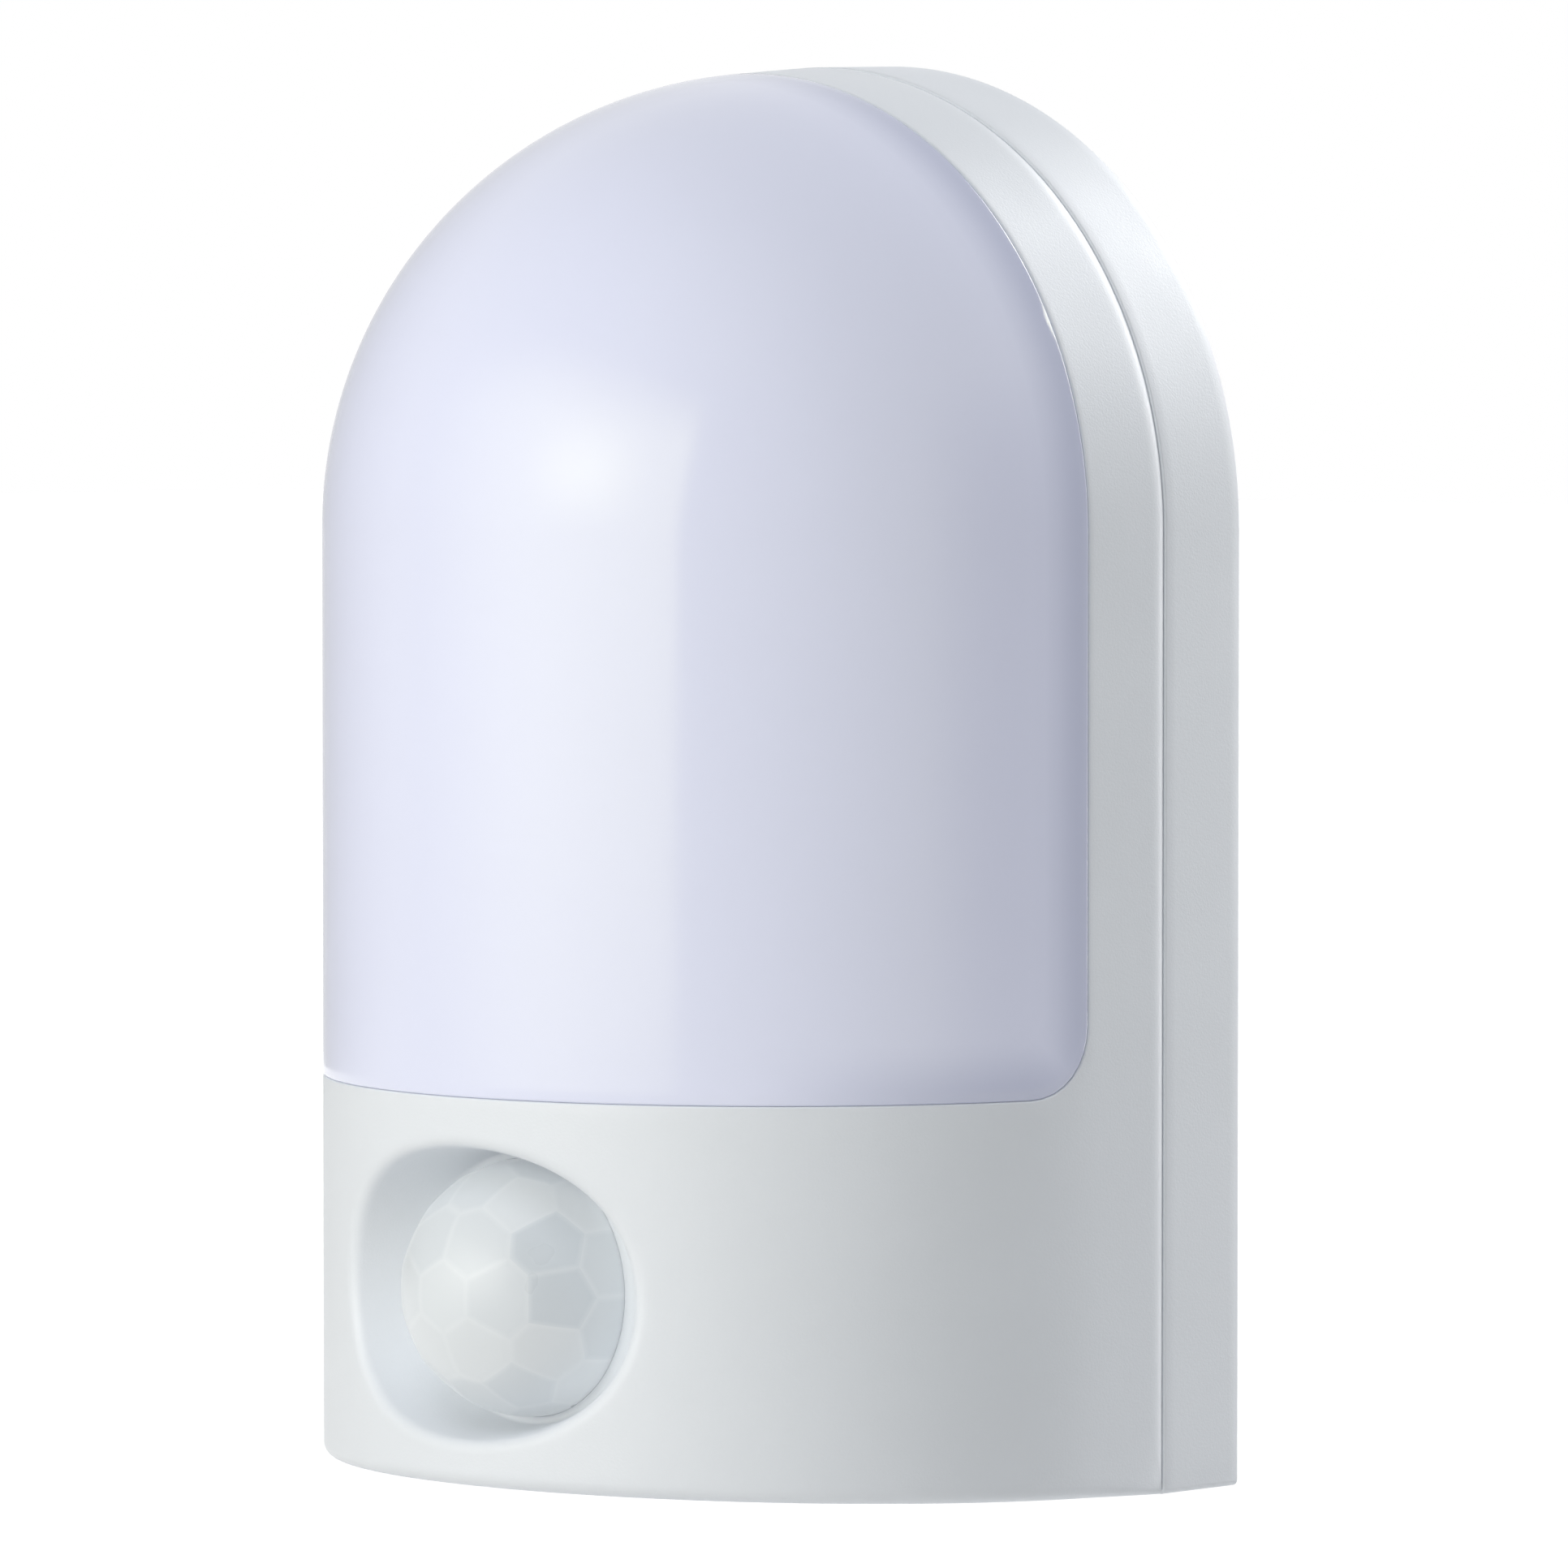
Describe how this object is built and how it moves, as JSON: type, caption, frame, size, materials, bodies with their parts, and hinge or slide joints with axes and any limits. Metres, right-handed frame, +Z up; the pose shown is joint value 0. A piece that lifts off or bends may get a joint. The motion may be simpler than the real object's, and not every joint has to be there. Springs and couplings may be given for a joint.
{
  "type": "plug in night light",
  "caption": "Plug in night light: arched white case with a milky domed light panel, a recessed motion sensor lens, flat plug blades and a sliding mode switch.",
  "frame": {"origin": "midway between the plug blades, on the rear face", "axes": "+X to the right seen from the room, +Y into the wall along the blades, +Z up"},
  "size_m": [0.0606, 0.0593, 0.0911],
  "materials": {
    "housing_plastic": "fine satin moulded plastic",
    "milky_panel": "glossy milky translucent plastic",
    "cover_plastic": "fine satin moulded plastic",
    "lens_plastic": "thin milky lens plastic",
    "white_plastic": "plain moulded plastic",
    "circuit_board": "green solder mask",
    "white_board": "white solder mask",
    "plated_steel": "tin plated",
    "screw_steel": "zinc plated",
    "blade_brass": "nickel plated brass",
    "dark_window": "dark infrared filter",
    "lead_sleeve": "soft insulation",
    "led_yellow": "phosphor gel",
    "capacitor_yellow": "potted plastic box",
    "capacitor_sleeve": "shrink sleeve",
    "chip_black": "moulding compound",
    "resistor_tan": "lacquer",
    "knob_plastic": "fine satin moulded plastic",
    "plug_plastic": "satin moulded plastic"
  },
  "bodies": {
    "case": {"front_housing": "housing_plastic", "diffuser": "milky_panel", "rear_cover": "cover_plastic", "pir_lens": "lens_plastic", "lens_retainer": "white_plastic", "sensor_board": "circuit_board", "pir_sensor": "plated_steel", "pir_window": "dark_window", "pir_leads": "plated_steel", "light_sensor": "lens_plastic", "sensor_leads": "lead_sleeve", "reflector_plate": "white_plastic", "led_board": "white_board", "leds": "led_yellow", "led_leads": "lead_sleeve", "power_board": "circuit_board", "film_capacitor": "capacitor_yellow", "electrolytic_capacitor": "capacitor_sleeve", "bridge_rectifier": "chip_black", "fuse_resistor": "resistor_tan", "voltage_regulator": "chip_black", "control_chip": "chip_black", "chip_resistors": "chip_black", "switch_body": "plated_steel", "plug_base": "plug_plastic", "plug_blade_left": "blade_brass", "plug_blade_right": "blade_brass", "case_screws": "screw_steel", "small_screws": "screw_steel"},
    "mode_switch": {"mode_knob": "knob_plastic", "switch_lever": "chip_black"}
  },
  "joints": [
    {"name": "mode_slide", "type": "slide", "parent": "case", "child": "mode_switch", "axis": [0, 0, 1], "range_m": [-0.002, 0.002]}
  ]
}
